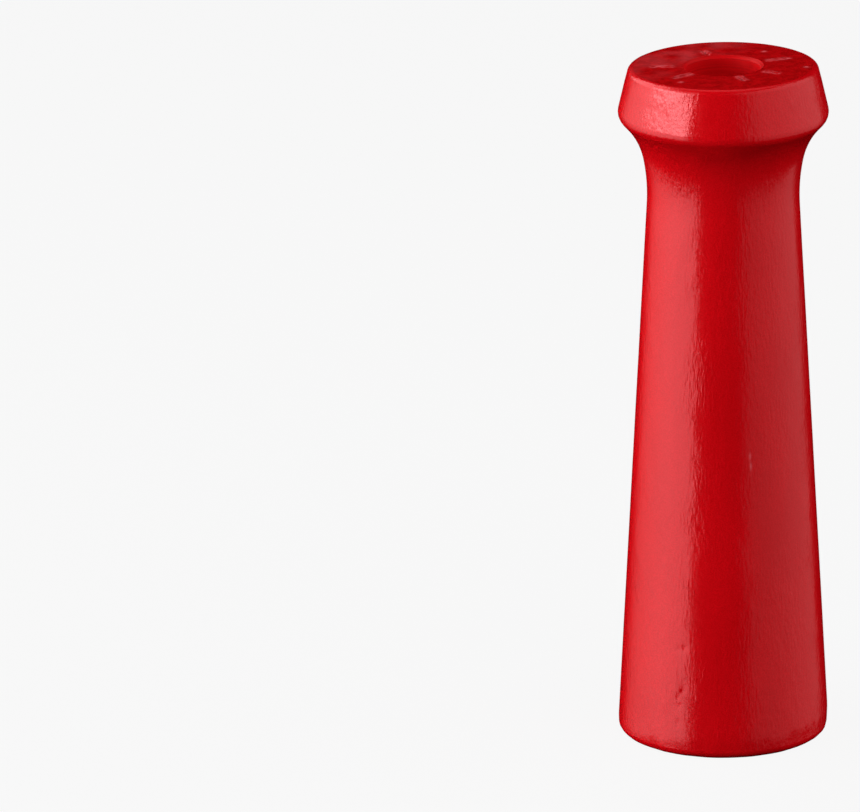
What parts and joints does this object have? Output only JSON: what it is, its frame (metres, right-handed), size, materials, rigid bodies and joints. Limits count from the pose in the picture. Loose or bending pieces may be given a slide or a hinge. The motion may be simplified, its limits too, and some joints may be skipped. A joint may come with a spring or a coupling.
{
  "type": "turned wooden handle",
  "caption": "Tapered turned hardwood handle with a flared ring at one end, a counterbored rod hole right through it and a red gloss enamel coat.",
  "frame": {"origin": "centre of the flat wide end, on the surface that the handle stands on", "axes": "+Z along the rod hole, from the wide end up to the flared end; X and Y are free, as the handle is round"},
  "size_m": [0.035, 0.035, 0.1155],
  "materials": {
    "enamelled_wood": "red gloss enamel over turned hardwood: glossy round the side, flatter and darker on the two end faces, where the end grain takes it up"
  },
  "bodies": {
    "root": {"handle": "enamelled_wood"}
  },
  "joints": []
}
